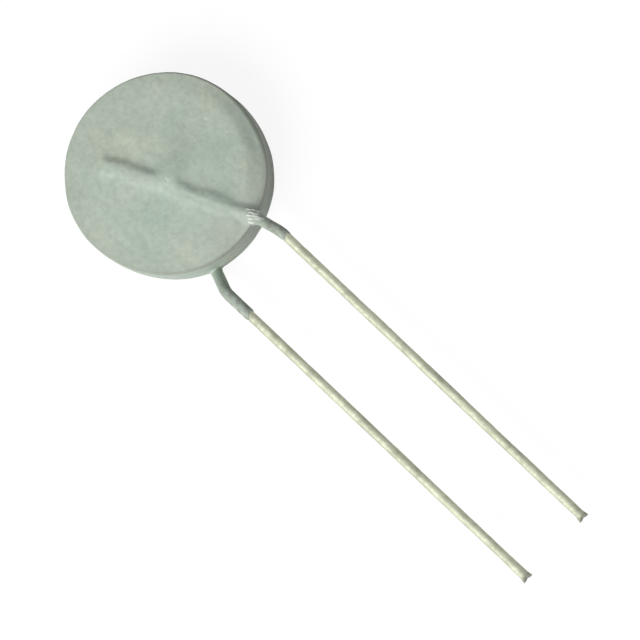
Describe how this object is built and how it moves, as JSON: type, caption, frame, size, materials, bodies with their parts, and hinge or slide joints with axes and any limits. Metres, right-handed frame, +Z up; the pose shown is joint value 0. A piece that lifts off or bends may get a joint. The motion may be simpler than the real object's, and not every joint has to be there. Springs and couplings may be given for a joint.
{
  "type": "ptc thermistor",
  "caption": "Radial-leaded disc thermistor: a dip-coated ceramic disc with bent tinned wire leads for through-hole soldering.",
  "frame": {"origin": "on the surface that the part lies on, under the middle of its whole length and width", "axes": "+X along the leads towards their tips, +Y across the leads towards the front lead, +Z up out of the front face"},
  "size_m": [0.0396, 0.0124, 0.0046],
  "materials": {
    "coating_resin": "satin dipped resin",
    "titanate_ceramic": "sintered",
    "fired_silver": "matte fired metal",
    "solder": "bright solder",
    "tinned_wire": "satin tin plate"
  },
  "bodies": {
    "root": {"coating": "coating_resin", "ceramic_disc": "titanate_ceramic", "front_electrode": "fired_silver", "back_electrode": "fired_silver", "front_solder": "solder", "back_solder": "solder", "front_lead": "tinned_wire", "back_lead": "tinned_wire"}
  },
  "joints": []
}
